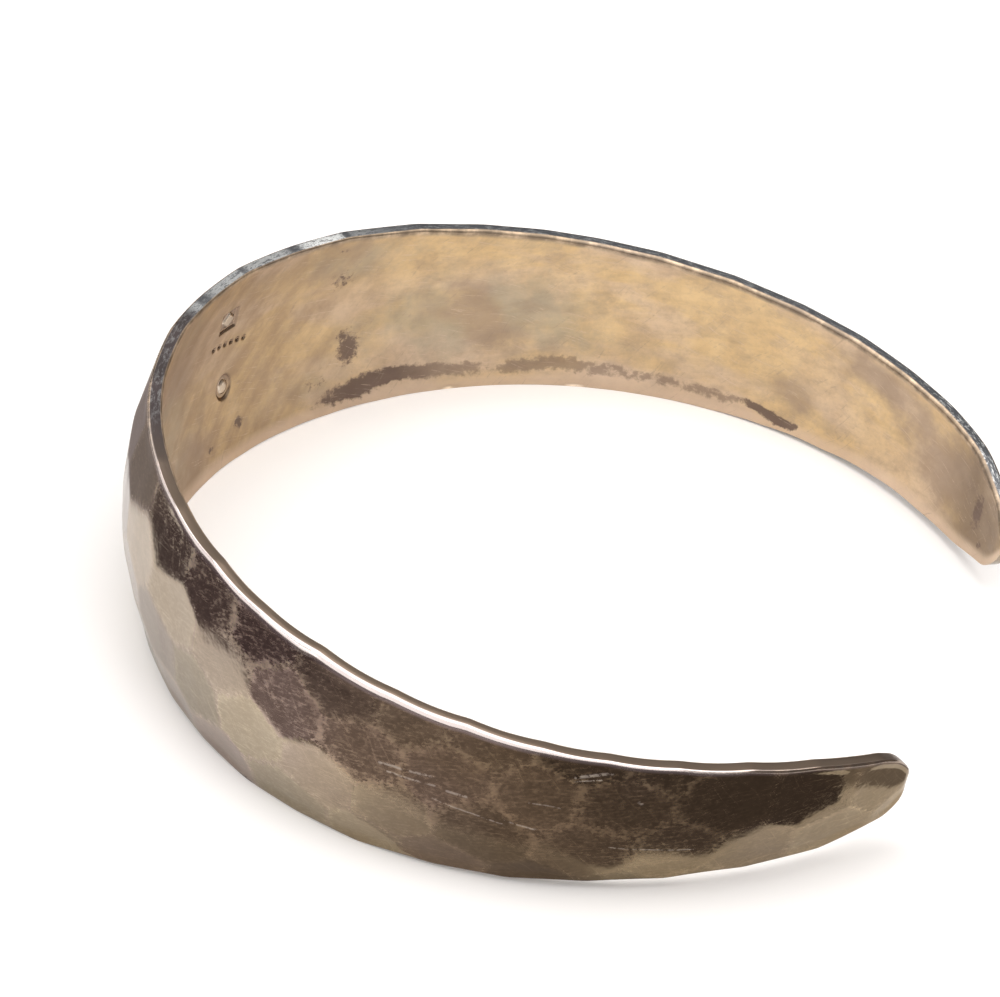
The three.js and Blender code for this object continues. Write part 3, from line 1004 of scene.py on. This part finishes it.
# The eye gets a little more light from the paper than the metal does, as on an overexposed white sweep.
seen = node(paper.node_tree, "LightPath").outputs["Is Camera Ray"]
lift = maths(paper.node_tree, "MULTIPLY", seen, PAPER_LIFT)
paper.node_tree.links.new(lift, sheet.inputs["Emission Strength"])
floor.data.materials.append(paper)
print("table", [round(side, 1) for side in floor.dimensions[:2]], "m")


# %% Lights
CUFF_AT = Vector((0, 0, 0))


def softbox(name, at, size, power, colour=(1, 1, 1), in_metal=True):
    """A rectangular light turned towards the cuff."""
    bpy.ops.object.light_add(type="AREA", location=at)
    light = bpy.context.object
    light.name = name
    light.data.shape = "RECTANGLE"
    light.data.size, light.data.size_y = size
    light.data.energy = power
    light.data.color = colour
    light.rotation_euler = (CUFF_AT - Vector(at)).to_track_quat("-Z", "Y").to_euler()
    light.visible_glossy = in_metal
    return light


softbox("overhead", (0.0, 0.08, 0.8), (1.1, 0.8), 8, (1, 0.97, 0.95))
softbox("fill_left", (-0.9, -0.3, 0.5), (1.0, 1.0), 6, in_metal=False)
softbox("fill_right", (0.9, -0.3, 0.5), (1.0, 1.0), 6, in_metal=False)
for name, at, size, power in (
    ("front_panel", (0.10, -0.9, 0.93), (2.4, 1.3), 12.0),
    ("left_panel", (-1.1, -0.15, 0.75), (2.0, 0.8), 5.5),
    ("back_panel", (-0.30, 1.0, 0.75), (1.8, 0.6), 2.6),
):
    panel = softbox(name, at, size, power)
    panel.visible_diffuse = False
world = bpy.data.worlds.new("room")
scene.world = world
world.use_nodes = True
world.node_tree.nodes["Background"].inputs["Color"].default_value = (0.17, 0.145, 0.13, 1)

# %% Cards
DARK_CARD = [  # x, y of its near edge in mm, how softly it begins in mm, shade of the penumbra before it
    (-140, 30, 6, 0.0), (-75, -5, 3, 0.0), (-52, -9, 2, 0.0), (-42, -17, 1.5, 0.0), (-35, -25, 1.5, 0.0),
    (-24, -31.5, 1.5, 0.0), (-16, -31, 1.5, 0.0), (-9, -32.8, 1.5, 0.05), (-3, -32, 1.2, 0.5),
    (3, -31.2, 0.8, 0.8), (9.5, -30.2, 0.6, 0.85), (11.6, -28.0, 0.4, 0.7), (13, -27.0, 0.4, 0.05),
    (15.7, -26.8, 0.4, 0.05),
    (17.6, -25.7, 0.4, 0.05), (18.7, -24.6, 0.4, 0.05), (19.8, -24.0, 0.4, 0.05), (21.9, -23.2, 0.4, 0.05),
    (24.5, -22.1, 0.4, 0.05), (28.2, -20.9, 0.4, 0.05), (31.2, -19.4, 0.4, 0.05), (33.4, -19.6, 0.4, 0.0),
    (38, -26, 1, 0.0), (90, -50, 3, 0.0),
]
SIDE_CARD = [(-35, 18, 3, 0), (-34, 8, 3, 0), (-34.5, 1, 4, 0), (-38, -5, 6, 0), (-43, -9, 6, 0)]
TIP_CARD = [
    (33.2, -26, 1, 0), (32.4, -18.4, 0.5, 0), (32.3, -15, 0.5, 0), (32.2, -12, 0.5, 0), (31, -6, 1, 0),
]
PENUMBRA = 3.5  # mm
CARD_HEIGHT = 0.0003  # metres above the table


def card_mesh(name, near_edge, reach, away, fullness):
    """Four rows of points from the penumbra to the far side, which keep how solid the card is there."""
    near = np.array(near_edge, float)
    corner, softness, penumbra = near[:, :2], near[:, 2:3], near[:, 3]
    way = corner / np.linalg.norm(corner, axis=1)[:, None] + np.array(away)
    way /= np.linalg.norm(way, axis=1)[:, None]
    rows = [corner + way * gone for gone in (-PENUMBRA, 0, softness, reach)]
    points = [(x * MM, y * MM, CARD_HEIGHT) for row in rows for x, y in row]
    n = len(near)
    starts = [row * n + place for row in range(3) for place in range(n - 1)]
    mesh = bpy.data.meshes.new(name)
    mesh.from_pydata(points, [], [(i, i + 1, i + n + 1, i + n) for i in starts])
    full = np.full(n, fullness)
    fade = mesh.attributes.new("fade", "FLOAT", "POINT")
    fade.data.foreach_set("value", np.concatenate([penumbra, penumbra, full, full]))
    return mesh


def card_paint(name, tones):
    """Black cloth that glows faintly in three tones, one after the other along X."""
    paint = bpy.data.materials.new(name)
    paint.use_nodes = True
    tree = paint.node_tree
    cloth = tree.nodes["Principled BSDF"]
    cloth.inputs["Base Color"].default_value = (0, 0, 0, 1)
    cloth.inputs["Specular IOR Level"].default_value = 0
    cloth.inputs["Emission Strength"].default_value = 1
    across = node(tree, "SeparateXYZ", inputs={0: node(tree, "TexCoord").outputs["Object"]}).outputs[0]
    tone = blend(tree, ramp(tree, across, -0.048, -0.022), tones[0], tones[1])
    tone = blend(tree, ramp(tree, across, 0.002, 0.020), tone, tones[2])
    tree.links.new(tone, cloth.inputs["Emission Color"])
    tree.links.new(value_of(tree, "fade"), cloth.inputs["Alpha"])
    return paint


def lying_card(name, near_edge, reach, away, fullness, tones):
    mesh = card_mesh(name, near_edge, reach, away, fullness)
    mesh.materials.append(card_paint(name, tones))
    sheet = bpy.data.objects.new(name, mesh)
    scene.collection.objects.link(sheet)
    sheet.visible_camera = sheet.visible_diffuse = sheet.visible_shadow = False
    print(name, "reaches", reach, "mm")


CARD_TONES = ((0.13, 0.10, 0.107), (0.34, 0.285, 0.285), (0.15, 0.125, 0.128))
MIDDLE_TONE = (0.24, 0.195, 0.185)
lying_card("dark_card", DARK_CARD, 500, (0, -0.6), 1, CARD_TONES)
lying_card("side_card", SIDE_CARD, 60, (0, 0), 0.88, [MIDDLE_TONE] * 3)
lying_card("tip_card", TIP_CARD, 40, (0, 0), 0.8, [MIDDLE_TONE] * 3)
scene.view_settings.view_transform = "Standard"
